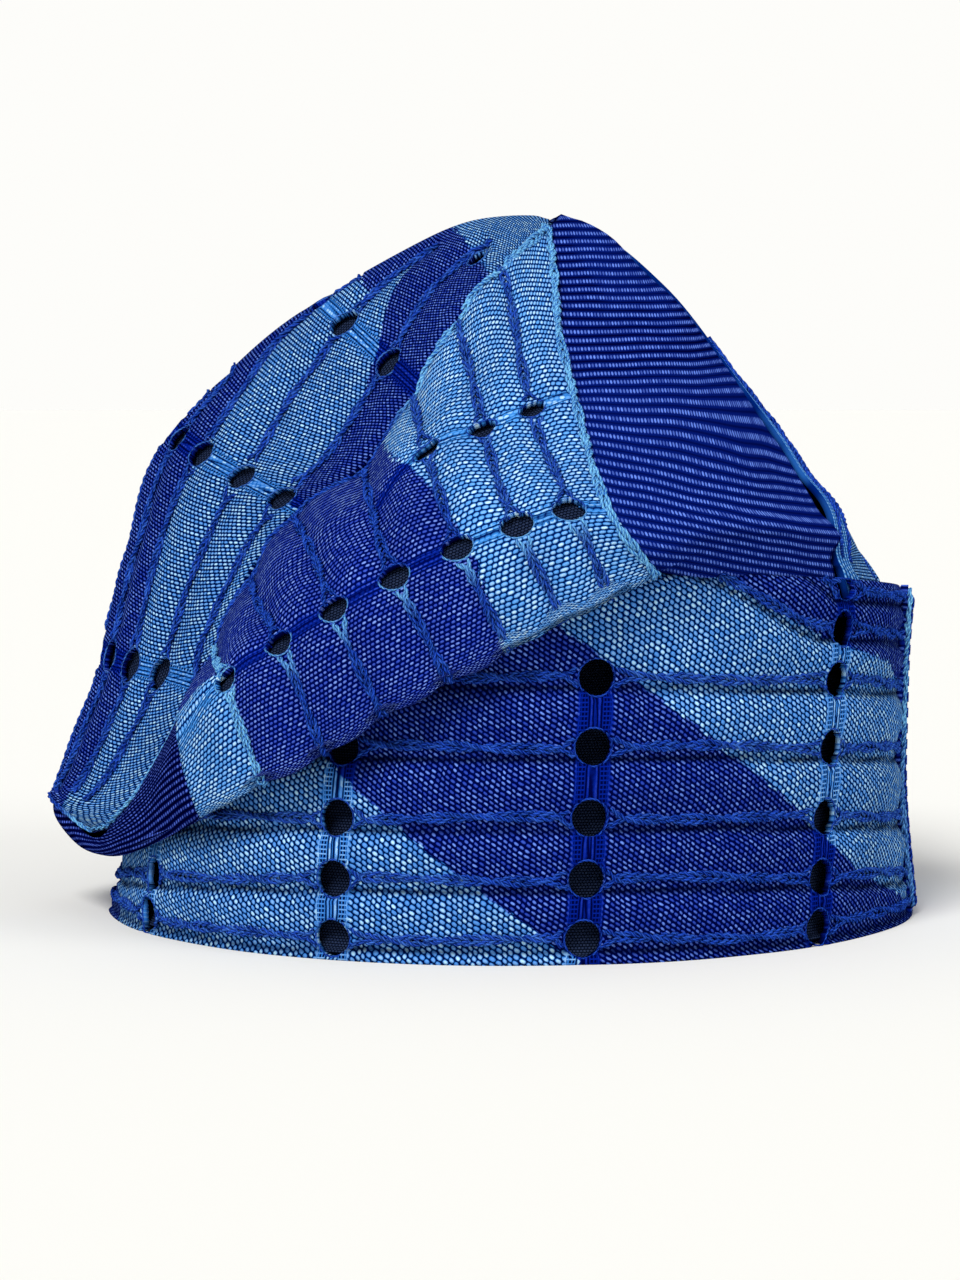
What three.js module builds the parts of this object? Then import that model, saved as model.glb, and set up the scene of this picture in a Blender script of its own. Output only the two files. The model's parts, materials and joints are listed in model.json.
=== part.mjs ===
// Fila cap: a soft woven cap whose tall crown is tipped to one side, standing on its rim.
// Millimetres, +Z up, the wearer's right to -X as seen, the front at -Y. The rim is the plane z = 0.
import * as THREE from 'three';

const WALL = 1.6;             // thickness of the folded strip cloth
const LINING_WALL = 1.2;      // thickness of the plain inner cap
const SEAM_GAP = 0.7;         // clear gap between two panels at a seam
const SEAM_BEVEL = 1.4;       // the inner edge of a seam lies this much further back
const CORNER_GAP = 1.3;       // cut back where panels meet at an edge with unlike points
const RIB_HEIGHT = 1.1;       // braid standing proud of the cloth
const RIB_HALF = 2.2;         // half of the braid's width
const HOLE_RADIUS = 4;        // worked eyelet
const HOLE_HALF = 4;          // half of the row of cloth that holds an eyelet
const RIM = { halfWidth: 91, halfDepth: 98 };   // outer oval of the band at the rim
const CUFF = { height: 71.5, slope: -0.1 };     // the band's folded top, lower towards the back

const BLUE = new THREE.Color('#1c3fa8');
const LIGHT = new THREE.Color('#6fb4e6');
const NAVY = new THREE.Color('#16206b');
const DARK = new THREE.Color('#12142a');

// How far the band leans in from its rim oval: at half height and at 80 mm, by angle round the cap.
const LEAN = [
  { angle: 0, middle: -3, top: 0 },
  { angle: 45, middle: -1.5, top: -1 },
  { angle: 90, middle: 0, top: -1 },
  { angle: 135, middle: -6, top: -27 },
  { angle: 180, middle: -12, top: -28 },
];
const LEAN_MIDDLE = 40;
const LEAN_TOP = 80;

// Braids that run round the band: height on the middle plane y = 0, before the slope.
const BAND_RIBS = [-4.3, 8.1, 20.8, 35.5, 49.9, 60.9];
const BAND_COLUMNS = 10;      // columns of eyelets round the band
const BAND_FIRST = -78.6;     // angle of the column nearest the front

// Meridians are lines up the crown wall. Hem, belly, knee and crest are points on the outer face, and
// lip says where the cloth that is turned under ends: how far out from the band, and how high.
const MERIDIAN = ['name', 'hem', 'belly', 'knee', 'crest', 'lip'];

function table(rows) {
  return rows.map((row) => Object.fromEntries(row.map((value, n) => [MERIDIAN[n], value])));
}

// The crown's front, from the right seam at the apex to the seam at the tip.
const FRONT = table([
  ['seam', [29.2, -100.2, 81.8], [19.8, -104.9, 95.3], [12.8, -70, 117.2], [7.9, -10, 154.2], [-4, 82.6]],
  ['g', [19.9, -102.8, 76.6], [11.3, -106.3, 95.2], [4.1, -76, 115], [-2.4, -36, 145.7], [2.6, 82.7]],
  ['f', [9.7, -104.5, 72.2], [0.5, -107, 91.9], [-6.8, -80, 111], [-12.1, -48, 134.2], [2.6, 79]],
  ['e', [-0.9, -105, 67], [-11.9, -106.2, 87.2], [-18.7, -76, 106.4], [-21.7, -56, 117.7], [2.6, 74]],
  ['d', [-14.1, -103.9, 60.1], [-24.9, -103.6, 81.2], [-29.9, -80, 94.2], [-32.8, -62, 102.2], [2.6, 67]],
  ['c', [-27.2, -100.9, 52.7], [-37.5, -99.2, 74.3], [-43.5, -73, 85.5], [-47.6, -54, 92.2], [2.6, 59.5]],
  ['b', [-39.9, -95.9, 44.4], [-49.2, -93.1, 66.9], [-54.4, -67, 74], [-57.4, -50, 78.9], [2.6, 51]],
  ['a', [-53.1, -88.3, 37.2], [-60.6, -85.1, 58.8], [-64.1, -60, 60.6], [-65.7, -46, 62.4], [2.6, 44]],
  ['tip', [-66.4, -77.2, 29.3], [-70.8, -73, 43], [-71.2, -55, 49.3], [-69.7, -44, 52.3], [2.6, 36]],
]);

// The crown's back, in the same order.
const BACK = table([
  ['seam', [74, -36, 78.5], [71.5, -7, 93], [49, 14, 118], [7.9, 10, 154.2], [-2.6, 67]],
  ['g', [82, 12, 74.5], [71.5, 21, 90], [47, 38, 120], [-2.4, 36, 145.7], [-2.6, 62]],
  ['f', [67, 60, 69.5], [63, 64, 89], [36, 60, 115], [-12.1, 48, 134.2], [-5, 62.5]],
  ['e', [38, 92, 66.5], [33, 95, 84], [16, 80, 106], [-21.7, 56, 117.7], [-4, 65.6]],
  ['d', [8, 104, 60], [2, 104, 78], [-10, 84, 97], [-32.8, 62, 102.2], [2.6, 65]],
  ['c', [-18, 103, 53], [-26, 101, 71], [-35, 77, 86], [-47.6, 54, 92.2], [2.6, 60]],
  ['b', [-37, 97, 45], [-45, 94, 63], [-51, 70, 74], [-57.4, 50, 78.9], [2.6, 52]],
  ['a', [-53, 88.3, 37.2], [-60, 84, 54], [-63.5, 61, 60], [-65.7, 46, 62.4], [2.6, 44]],
  ['tip', [-66.4, 77.2, 29.3], [-70.8, 73, 43], [-71.2, 55, 49.3], [-69.7, 44, 52.3], [2.6, 36]],
]);

// The right gusset, between the front and the back seam under the apex.
const RIGHT = table([
  ['front', [42, -88, 86.3], [37, -93, 97], [25, -64, 118], [11.5, -6, 155.8], [-4.6, 76]],
  ['middle', [56, -73.5, 84.6], [54, -72, 96], [37, -46, 119], [12.5, 0, 156.5], [-2.8, 72]],
  ['back', [66, -56, 81], [65.5, -41, 94.5], [46, -18, 119], [11.5, 6, 155.8], [-2.6, 70]],
]);

// The left gusset, from the front seam round the tip to the back seam.
const LEFT = table([
  ['front', [-75.4, -58, 21.8], [-78.5, -54, 27], [-79.5, -45, 31.5], [-78.9, -38, 34.1], [2.6, 28.5]],
  ['under', [-84.1, -42, 16.8], [-87, -39, 18.5], [-88, -34, 20.5], [-88, -30, 22], [2.6, 23]],
  ['corner', [-91, -20, 13.5], [-94.2, -20, 14.6], [-95, -19.5, 16.6], [-94, -18, 18.2], [2.6, 19.5]],
  ['middle', [-94, 0, 13], [-99, 0, 15.4], [-103, 0, 20], [-104, 0, 25], [2.6, 19]],
  ['corner back', [-91, 20, 13.5], [-94.2, 20, 14.6], [-95, 19.5, 16.6], [-94, 18, 18.2], [2.6, 19.5]],
  ['under back', [-84.1, 42, 16.8], [-87, 39, 18.5], [-88, 34, 20.5], [-88, 30, 22], [2.6, 23]],
  ['back', [-75.4, 58, 21.8], [-78.5, 54, 27], [-79.5, 45, 31.5], [-78.9, 38, 34.1], [2.6, 28.5]],
]);
const LOBE = 3;               // the top panel runs on past the tip seam over this many gusset meridians

// The crown's spine, the highest line of the top panel, at each of its meridians from apex to tip.
const SPINE = [
  [8.5, 0, 155.4], [-8.1, 0, 154.6], [-24.9, 0, 147.4], [-43.3, 0, 136.5], [-61.9, 0, 121.7], [-80, 0, 102.4],
  [-87, 0, 81.5], [-91.9, 0, 61.2], [-94.6, 0, 50.5], [-100.6, 0, 34.8], [-103.2, 0, 28.8], [-104, 0, 25],
];
const SPINE_STEP = 20;        // about how far apart its points are
const TOP_RIBS = [0.07, 0.2, 0.33, 0.47, 0.62, 0.77, 0.92];   // share of the way from front to back crest

const TOP_RIB_HALF = 0.018;
const TOP_HOLE_COLUMNS = [8, 14, 21];   // grid columns with eyelets: at the meridians e and c, and past a

// The plain inner cap, as level ovals from the rim up: height, centre and half sizes.
const LINING = [
  { z: 1.2, x: 0, halfWidth: 88.3, halfDepth: 95.4 },
  { z: 6, x: 0, halfWidth: 85.6, halfDepth: 93 },
  { z: 36, x: 3, halfWidth: 80, halfDepth: 90 },
  { z: 62, x: 9, halfWidth: 70, halfDepth: 80 },
  { z: 84, x: 4, halfWidth: 56, halfDepth: 67 },
  { z: 102, x: -5, halfWidth: 58, halfDepth: 60 },
  { z: 118, x: -7, halfWidth: 44, halfDepth: 46 },
  { z: 133, x: -3, halfWidth: 29, halfDepth: 29 },
  { z: 143, x: 2, halfWidth: 15, halfDepth: 13 },
  { z: 146.5, x: 4, halfWidth: 1.2, halfDepth: 1.2 },
];
const LINING_SIDES = 30;

const radians = THREE.MathUtils.degToRad;
const vector = (list) => new THREE.Vector3(...list);

// A point on the band's outer face, or out from it.
function bandPoint(angle, z, out) {
  const turned = Math.abs(((angle + 540) % 360) - 180);
  const step = Math.min(Math.floor(turned / 45), LEAN.length - 2);
  const share = (turned - LEAN[step].angle) / 45;
  const middle = THREE.MathUtils.lerp(LEAN[step].middle, LEAN[step + 1].middle, share);
  const top = THREE.MathUtils.lerp(LEAN[step].top, LEAN[step + 1].top, share);
  const lean = z < LEAN_MIDDLE
    ? (middle * z) / LEAN_MIDDLE
    : THREE.MathUtils.lerp(middle, top, (z - LEAN_MIDDLE) / (LEAN_TOP - LEAN_MIDDLE));
  const a = RIM.halfWidth + lean + out;
  const b = RIM.halfDepth + lean + out;
  return new THREE.Vector3(a * Math.cos(radians(angle)), b * Math.sin(radians(angle)), z);
}

const angleOf = (point) => THREE.MathUtils.radToDeg(
  Math.atan2(point.y / RIM.halfDepth, point.x / RIM.halfWidth));
const sloped = (height, y) => height + CUFF.slope * y;

// The key points of a crown meridian from the end of its lip to its crest.
function keyPoints(meridian) {
  const hem = vector(meridian.hem);
  const [out, z] = meridian.lip;
  const end = bandPoint(angleOf(hem), z, out);
  const under = end.clone().lerp(hem, 0.62);
  under.z = hem.z + (z > hem.z ? 0.6 : -3.5);
  return [end, under, hem, vector(meridian.belly), vector(meridian.knee), vector(meridian.crest)];
}

// One smooth line through the same key point of every meridian in a list.
function ring(meridians) {
  const lines = meridians.map(keyPoints);
  const curves = lines[0].map((unused, key) => new THREE.CatmullRomCurve3(lines.map((line) => line[key])));
  const last = meridians.length - 1;
  // place is a meridian's number, and aside a distance in millimetres from it
  return (key, place, aside = 0) => {
    const points = lines.map((line) => line[key]);
    const near = Math.max(0, Math.min(last - 1, Math.floor(aside < 0 ? place - 1 : place)));
    const span = Math.max(points[near].distanceTo(points[near + 1]), 6);
    return curves[key].getPoint(Math.min(1, Math.max(0, (place + aside / span) / last)));
  };
}

// The rows of a crown wall from lip to crest, worked out from its six key points.
function meridianRows(keys) {
  const [end, under, hem, belly, knee, crest] = keys;
  const curve = new THREE.CatmullRomCurve3([hem, belly, knee, crest]);
  const lengths = [hem.distanceTo(belly), belly.distanceTo(knee), knee.distanceTo(crest)];
  const share = (segment) => Math.min(0.4, HOLE_HALF / lengths[segment]) / 3;
  const at = (t) => curve.getPoint(t);
  return [
    end, under, hem,
    at(1 / 3 - share(0)), belly, at(1 / 3 + share(1)),
    at(2 / 3 - share(1)), knee, at(2 / 3 + share(2)),
    at(5 / 6 + share(2) / 2), crest,
  ];
}
const ROW = { belly: 4, knee: 7 };

// A panel is a grid of points, columns[i][j], with notes on where it is raised, pierced or cut back.
function makePanel(columns, { ribs = [], across = [], holes = [], closed = false, wall = WALL, trims = {} }) {
  return { columns, ribs, across, holes, closed, wall, trims };
}

// Outward directions of a panel's points, from the faces round each.
function panelNormals(panel) {
  const { columns, closed } = panel;
  const wide = columns.length;
  const normals = columns.map((column) => column.map(() => new THREE.Vector3()));
  for (let i = 0; i < (closed ? wide : wide - 1); i += 1) {
    const next = (i + 1) % wide;
    for (let j = 0; j < columns[i].length - 1; j += 1) {
      const diagonal = columns[next][j + 1].clone().sub(columns[i][j]);
      const other = columns[i][j + 1].clone().sub(columns[next][j]);
      const face = diagonal.cross(other);
      if (face.length() > 1e-9) face.normalize();
      for (const [u, v] of [[i, j], [next, j], [i, j + 1], [next, j + 1]]) normals[u][v].add(face);
    }
  }
  return normals;
}

// Panels that share a point at a seam share its direction too, so that their walls meet in a mitre.
function weldNormals(panels) {
  const shared = new Map();
  const keyOf = (point) => point.toArray().map((value) => value.toFixed(3)).join(' ');
  for (const panel of panels) {
    panel.normals = panelNormals(panel);
    panel.columns.forEach((column, i) => column.forEach((point, j) => {
      const key = keyOf(point);
      if (!shared.has(key)) shared.set(key, new THREE.Vector3());
      shared.get(key).add(panel.normals[i][j]);
    }));
  }
  for (const panel of panels) {
    panel.normals = panel.columns.map((column) => column.map((point, j) => {
      const way = shared.get(keyOf(point)).clone();
      if (panel.closed && j === 0) way.z = 0;   // a hem stays level
      return way.normalize();
    }));
  }
}

// One closed wall of cloth from a panel: outer face, inner face, and an edge all round each opening.
function clothWall(panel) {
  const { columns, normals, closed, wall } = panel;
  const wide = columns.length;
  const tall = columns[0].length;
  const outer = columns.map((column) => column.map((point) => point.clone()));
  const inner = columns.map((column, i) => column.map((point, j) => (
    point.clone().addScaledVector(normals[i][j], -wall))));

  const pull = (i, j, towardI, towardJ, distance) => {
    const way = columns[towardI][towardJ].clone().sub(columns[i][j]).normalize();
    outer[i][j].addScaledVector(way, distance);
    inner[i][j].addScaledVector(way, distance + SEAM_BEVEL);
  };
  const { start = SEAM_GAP / 2, end = SEAM_GAP / 2, top = SEAM_GAP / 2 } = panel.trims;
  if (!closed) {
    for (let j = 0; j < tall; j += 1) {
      pull(0, j, 1, j, start);
      pull(wide - 1, j, wide - 2, j, end);
    }
  }
  for (let i = 0; i < wide; i += 1) {
    if (top) pull(i, tall - 1, i, tall - 2, typeof top === 'function' ? top(i) : top);
    if (panel.trims.bottom) pull(i, 0, i, 1, panel.trims.bottom);
  }

  const skipped = new Set();
  for (const { i, j, radius = HOLE_RADIUS } of panel.holes) {
    for (const face of [outer, inner]) {
      const middle = face[i][j].clone();
      for (const di of [-1, 0, 1]) {
        for (const dj of [-1, 0, 1]) {
          if (!di && !dj) continue;
          const spot = face[(i + di + wide) % wide][j + dj];
          spot.sub(middle).setLength(radius).add(middle);
        }
      }
    }
    for (const di of [-1, 0]) for (const dj of [-1, 0]) skipped.add(`${(i + di + wide) % wide},${j + dj}`);
  }
  const raise = (i, j) => outer[i][j].addScaledVector(normals[i][j], RIB_HEIGHT);
  const [from, to] = closed ? [0, wide] : [1, wide - 1];
  for (const j of panel.ribs) for (let i = from; i < to; i += 1) raise(i, j);
  for (const i of panel.across) for (let j = 3; j < tall - 1; j += 1) raise(i, j);

  const corners = [];
  const number = new Map();
  const index = [];
  const use = (face, i, j) => {
    const key = `${face},${i},${j}`;
    if (!number.has(key)) {
      number.set(key, corners.length / 3);
      corners.push(...(face === 'outer' ? outer : inner)[i][j].toArray());
    }
    return number.get(key);
  };
  const edges = new Map();
  const note = (a, b) => {
    const back = `${b} ${a}`;
    if (edges.has(back)) edges.delete(back);
    else edges.set(`${a} ${b}`, [a, b]);
  };
  for (let i = 0; i < (closed ? wide : wide - 1); i += 1) {
    const next = (i + 1) % wide;
    for (let j = 0; j < tall - 1; j += 1) {
      if (skipped.has(`${i},${j}`)) continue;
      const loop = [[i, j], [next, j], [next, j + 1], [i, j + 1]];
      const out = loop.map(([u, v]) => use('outer', u, v));
      const inside = loop.map(([u, v]) => use('inner', u, v));
      index.push(out[0], out[1], out[2], out[0], out[2], out[3]);
      index.push(inside[0], inside[2], inside[1], inside[0], inside[3], inside[2]);
      for (let k = 0; k < 4; k += 1) note(`${loop[k]}`, `${loop[(k + 1) % 4]}`);
    }
  }
  for (const [a, b] of edges.values()) {
    const [ia, ja] = a.split(',').map(Number);
    const [ib, jb] = b.split(',').map(Number);
    const quad = [use('outer', ia, ja), use('inner', ia, ja), use('inner', ib, jb), use('outer', ib, jb)];
    index.push(quad[0], quad[1], quad[2], quad[0], quad[2], quad[3]);
  }
  const geometry = new THREE.BufferGeometry();
  geometry.setAttribute('position', new THREE.Float32BufferAttribute(corners, 3));
  geometry.setIndex(index);
  geometry.computeVertexNormals();
  return geometry;
}

// The least height of a row of the band: rows that would fall under the rim are gathered just over it.
const gathered = (row) => 1.2 + 0.9 * row;

// The band: eyelet columns and braid rows.
function bandPanel() {
  const columns = [];
  const holes = [];
  const step = 360 / BAND_COLUMNS;
  const braid = THREE.MathUtils.radToDeg(RIB_HALF / RIM.halfDepth);
  const asides = [-braid, 0, braid, 0.27 * step, 0.5 * step, 0.73 * step];
  const heights = BAND_RIBS.flatMap((height) => [height - RIB_HALF, height, height + RIB_HALF]);
  for (let n = 0; n < BAND_COLUMNS; n += 1) {
    for (const aside of asides) {
      const angle = BAND_FIRST + n * step + aside;
      const y = RIM.halfDepth * Math.sin(radians(angle));
      const rows = heights.map((height, j) => Math.max(sloped(height, y), gathered(j)));
      const zs = [0, ...rows, sloped(CUFF.height, y)];
      columns.push(zs.map((z) => bandPoint(angle, z, 0)));
      if (aside) continue;
      BAND_RIBS.forEach((height, row) => {
        const z = sloped(height, y);
        const radius = Math.min(HOLE_RADIUS, z - WALL);
        if (radius > 3 && z - RIB_HALF > gathered(3 * row)) {
          holes.push({ i: columns.length - 1, j: 3 * row + 2, radius });
        }
      });
    }
  }
  const ribs = BAND_RIBS.map((unused, row) => 3 * row + 2);
  return makePanel(columns, { ribs, holes, closed: true, trims: { top: 0 } });
}

// The columns of the front and back walls: the seams, and three lines to each braid.
function wallPlaces(count) {
  const places = [{ place: 0, aside: 0 }];
  for (let n = 1; n < count - 1; n += 1) {
    for (const aside of [-RIB_HALF, 0, RIB_HALF]) places.push({ place: n, aside });
  }
  places.push({ place: count - 1, aside: 0 });
  return places;
}

const frontRing = ring(FRONT);
const backRing = ring(BACK);
const rightRing = ring([FRONT[0], ...RIGHT, BACK[0]]);
const leftRing = ring([FRONT.at(-1), ...LEFT, BACK.at(-1)]);
const KEYS = [0, 1, 2, 3, 4, 5];
const CREST = 5;
const wallColumn = (around, { place, aside = 0 }) => (
  meridianRows(KEYS.map((key) => around(key, place, aside))));

function frontPanel() {
  const places = wallPlaces(FRONT.length);
  const braids = FRONT.slice(1, -1).map((unused, n) => 2 + 3 * n);
  const holes = braids.map((i) => ({ i, j: ROW.belly }));
  for (const i of braids.slice(0, 3)) holes.push({ i, j: ROW.knee });
  // columns run from right to left, so they are turned round to face out
  return makePanel(places.map((spot) => wallColumn(frontRing, spot)).reverse(), {
    across: braids,
    holes: holes.map(({ i, j }) => ({ i: places.length - 1 - i, j })),
  });
}

function backPanel() {
  const places = wallPlaces(BACK.length);
  const braids = BACK.slice(1, -1).map((unused, n) => 2 + 3 * n);
  const holes = braids.flatMap((i) => [{ i, j: ROW.belly }, { i, j: ROW.knee }]);
  const columns = places.map((spot) => wallColumn(backRing, spot));
  return makePanel(columns, { across: braids, holes: holes.slice(0, -4) });
}

function rightPanel() {
  const columns = [];
  for (let place = 0; place <= RIGHT.length + 1; place += 0.5) columns.push(wallColumn(rightRing, { place }));
  return makePanel(columns, { trims: { top: CORNER_GAP } });
}

function leftPanel() {
  const places = LEFT.length + 2;
  const columns = [];
  for (let place = 0; place < places; place += 1) columns.push(wallColumn(leftRing, { place }));
  const top = (i) => (i > 0 && i < columns.length - 1 ? CORNER_GAP : SEAM_GAP / 2);
  return makePanel(columns.reverse(), { trims: { top } });
}

// The top panel spans from the front crest over the spine to the back crest.
function topPanel() {
  const spine = new THREE.CatmullRomCurve3(SPINE.map(vector));
  const spans = [];
  for (const spot of wallPlaces(FRONT.length)) {
    const front = frontRing(CREST, spot.place, spot.aside);
    const back = backRing(CREST, spot.place, spot.aside);
    const along = (spot.place + spot.aside / SPINE_STEP) / (SPINE.length - 1);
    spans.push([front, spine.getPoint(along), back]);
  }
  for (let n = 1; n <= LOBE; n += 1) {
    const place = FRONT.length - 1 + n;
    spans.push([leftRing(CREST, n), vector(SPINE[place]), leftRing(CREST, LEFT.length + 1 - n)]);
  }
  const shares = [0];
  TOP_RIBS.forEach((share) => shares.push(share - TOP_RIB_HALF, share, share + TOP_RIB_HALF));
  shares.push(1);
  const columns = spans.map((points) => {
    const arch = new THREE.CatmullRomCurve3(points);
    const across = shares.slice(1, -1).map((share) => arch.getPoint(share));
    return [points[0], ...across, points[2]];
  });
  const ribs = TOP_RIBS.map((unused, n) => 2 + 3 * n);
  const holes = TOP_HOLE_COLUMNS.flatMap((i) => ribs.map((j) => ({ i, j })));
  return makePanel(columns, {
    ribs, holes,
    trims: { start: CORNER_GAP, end: CORNER_GAP, bottom: SEAM_GAP / 2 },
  });
}

function liningPanel() {
  const columns = [];
  for (let n = 0; n < LINING_SIDES; n += 1) {
    const angle = (n * 2 * Math.PI) / LINING_SIDES;
    columns.push(LINING.map(({ z, x, halfWidth, halfDepth }) => new THREE.Vector3(
      x + halfWidth * Math.cos(angle), halfDepth * Math.sin(angle), z)));
  }
  return makePanel(columns, { closed: true, wall: LINING_WALL, trims: { top: 0 } });
}

function sewn(name, panel, color) {
  const material = new THREE.MeshStandardMaterial({ color, roughness: 0.75, metalness: 0 });
  const mesh = new THREE.Mesh(clothWall(panel), material);
  mesh.name = name;
  return mesh;
}

const pieces = [
  ['band', bandPanel(), LIGHT],
  ['crown_front', frontPanel(), NAVY],
  ['crown_top', topPanel(), BLUE],
  ['crown_right', rightPanel(), NAVY],
  ['crown_left', leftPanel(), NAVY],
  ['crown_back', backPanel(), LIGHT],
  ['lining', liningPanel(), DARK],
];
weldNormals(pieces.map(([, panel]) => panel));

const cap = new THREE.Group();
for (const [name, panel, color] of pieces) cap.add(sewn(name, panel, color));

// The origin is the middle of the cap's box, on the floor.
const box = new THREE.Box3().setFromObject(cap);
const middle = box.getCenter(new THREE.Vector3());
cap.position.set(-middle.x, -middle.y, -box.min.z);

export default cap;
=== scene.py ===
"""Fila cap: a soft woven cap of striped openwork strip cloth, its tall crown folded over to one side.

Lengths are millimetres in the cap's own frame, with the band's middle on the floor at the origin,
and become metres in the row's frame when a mesh is made.
"""
import json
import math

import bpy
import numpy as np
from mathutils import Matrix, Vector


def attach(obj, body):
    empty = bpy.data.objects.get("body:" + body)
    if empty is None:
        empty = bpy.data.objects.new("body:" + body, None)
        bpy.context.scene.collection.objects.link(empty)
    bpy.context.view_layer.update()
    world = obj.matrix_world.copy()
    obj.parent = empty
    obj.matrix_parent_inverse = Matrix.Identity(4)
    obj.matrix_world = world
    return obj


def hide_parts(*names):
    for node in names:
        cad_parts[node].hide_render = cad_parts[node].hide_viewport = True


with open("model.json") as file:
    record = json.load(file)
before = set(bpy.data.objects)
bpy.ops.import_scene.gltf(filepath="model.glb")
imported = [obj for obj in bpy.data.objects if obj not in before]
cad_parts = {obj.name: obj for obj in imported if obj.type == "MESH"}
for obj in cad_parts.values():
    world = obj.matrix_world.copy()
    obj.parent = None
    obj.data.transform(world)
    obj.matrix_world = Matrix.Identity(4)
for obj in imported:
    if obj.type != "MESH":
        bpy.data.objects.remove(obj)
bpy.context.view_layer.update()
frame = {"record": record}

MM = 0.001
UV_SCALE = 0.01            # one step of the uv map is 100 mm of cloth
WALL = 1.4                 # strip cloth
EYELET = 3.9               # radius of a worked eyelet
CORD = 0.33                # radius of one ply of the braids
FINE_CORD = 0.3
EYELET_CORD = 0.24
FAR = 9.0                  # from a braid or a row of eyelets, where neither counts any more
RIM_HALF_WIDTH = 91.0      # outer oval of the band at the rim
RIM_HALF_DEPTH = 98.0
MEAN_RADIUS = (RIM_HALF_WIDTH + RIM_HALF_DEPTH) / 2
BAND_LENGTH = 594.0        # round the rim
CELL = 1.25                # length of the band mesh's cells
CUFF_HEIGHT = 71.5         # the band's folded top at mid depth
CUFF_SLOPE = -0.1          # it falls towards the back
HEM_BRAID = 4.1            # no braid lies lower on the band
LINING_GAP = 2.1           # from an outer face to the lining behind its eyelets

rim_mount = frame["record"]["mounts"][0]["pos_m"]
# the band's oval is whole from front to back, and the rim mount lies on its right edge
MOUNT_ANGLE = math.radians(-6.6)
MOUNT_INSET = 0.8
mount_normal = np.array([math.cos(MOUNT_ANGLE) / RIM_HALF_WIDTH, math.sin(MOUNT_ANGLE) / RIM_HALF_DEPTH])
mount_normal /= np.linalg.norm(mount_normal)
CENTRE = np.array([
    rim_mount[0] / MM - RIM_HALF_WIDTH * math.cos(MOUNT_ANGLE) + MOUNT_INSET * mount_normal[0],
    rim_mount[1] / MM - RIM_HALF_DEPTH * math.sin(MOUNT_ANGLE) + MOUNT_INSET * mount_normal[1],
    0.0,
])

# How far the band leans in from its rim oval at half height and at 80 mm, by angle round the cap.
LEAN = [
    # angle, middle, top
    (0, -3, 0),
    (45, -1.5, -1),
    (90, 0, -1),
    (135, -6, -27),
    (180, -12, -28),
]
BAND_RIBS = [-4.3, 8.1, 20.8, 35.5, 49.9, 60.9]

# Meridians run up the crown wall: hem, belly, knee and crest are points on the outer face, and the
# last pair says where the cloth turned under ends: out from the band, and how high.
FRONT = [
    ((29.2, -100.2, 81.8), (19.8, -104.9, 95.3), (12.8, -70, 117.2), (7.9, -10, 154.2), (-4, 82.6)),
    ((19.9, -102.8, 76.6), (11.3, -106.3, 95.2), (4.1, -76, 115), (-2.4, -36, 145.7), (2.6, 82.7)),
    ((9.7, -104.5, 72.2), (0.5, -107, 91.9), (-6.8, -80, 111), (-12.1, -48, 134.2), (2.6, 79)),
    ((-0.9, -105, 67), (-11.9, -106.2, 87.2), (-18.7, -76, 106.4), (-21.7, -56, 117.7), (2.6, 74)),
    ((-14.1, -103.9, 60.1), (-24.9, -103.6, 81.2), (-29.9, -80, 94.2), (-32.8, -62, 102.2), (2.6, 67)),
    ((-27.2, -100.9, 52.7), (-37.5, -99.2, 74.3), (-43.5, -73, 85.5), (-47.6, -54, 92.2), (2.6, 59.5)),
    ((-39.9, -95.9, 44.4), (-49.2, -93.1, 66.9), (-54.4, -67, 74), (-57.4, -50, 78.9), (2.6, 51)),
    ((-53.1, -88.3, 37.2), (-60.6, -85.1, 58.8), (-64.1, -60, 60.6), (-65.7, -46, 62.4), (2.6, 44)),
    ((-66.4, -77.2, 29.3), (-70.8, -73, 43), (-71.2, -55, 49.3), (-69.7, -44, 52.3), (2.6, 36)),
]
BACK = [
    ((74, -36, 78.5), (71.5, -7, 93), (49, 14, 118), (7.9, 10, 154.2), (-2.6, 67)),
    ((82, 12, 74.5), (71.5, 21, 90), (47, 38, 120), (-2.4, 36, 145.7), (-2.6, 62)),
    ((67, 60, 69.5), (63, 64, 89), (36, 60, 115), (-12.1, 48, 134.2), (-5, 62.5)),
    ((38, 92, 66.5), (33, 95, 84), (16, 80, 106), (-21.7, 56, 117.7), (-4, 65.6)),
    ((8, 104, 60), (2, 104, 78), (-10, 84, 97), (-32.8, 62, 102.2), (2.6, 65)),
    ((-18, 103, 53), (-26, 101, 71), (-35, 77, 86), (-47.6, 54, 92.2), (2.6, 60)),
    ((-37, 97, 45), (-45, 94, 63), (-51, 70, 74), (-57.4, 50, 78.9), (2.6, 52)),
    ((-53, 88.3, 37.2), (-60, 84, 54), (-63.5, 61, 60), (-65.7, 46, 62.4), (2.6, 44)),
    ((-66.4, 77.2, 29.3), (-70.8, 73, 43), (-71.2, 55, 49.3), (-69.7, 44, 52.3), (2.6, 36)),
]
RIGHT = [
    ((42, -88.5, 87.8), (37, -93, 97), (25, -64, 118), (11.5, -6, 155.8), (-4.6, 76)),
    ((56.5, -74, 87.2), (54, -72, 96), (37, -46, 119), (12.5, 0, 156.5), (-2.8, 72)),
    ((66.5, -56, 83.2), (65.5, -41, 94.5), (46, -18, 119), (11.5, 6, 155.8), (-2.6, 70)),
]
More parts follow.
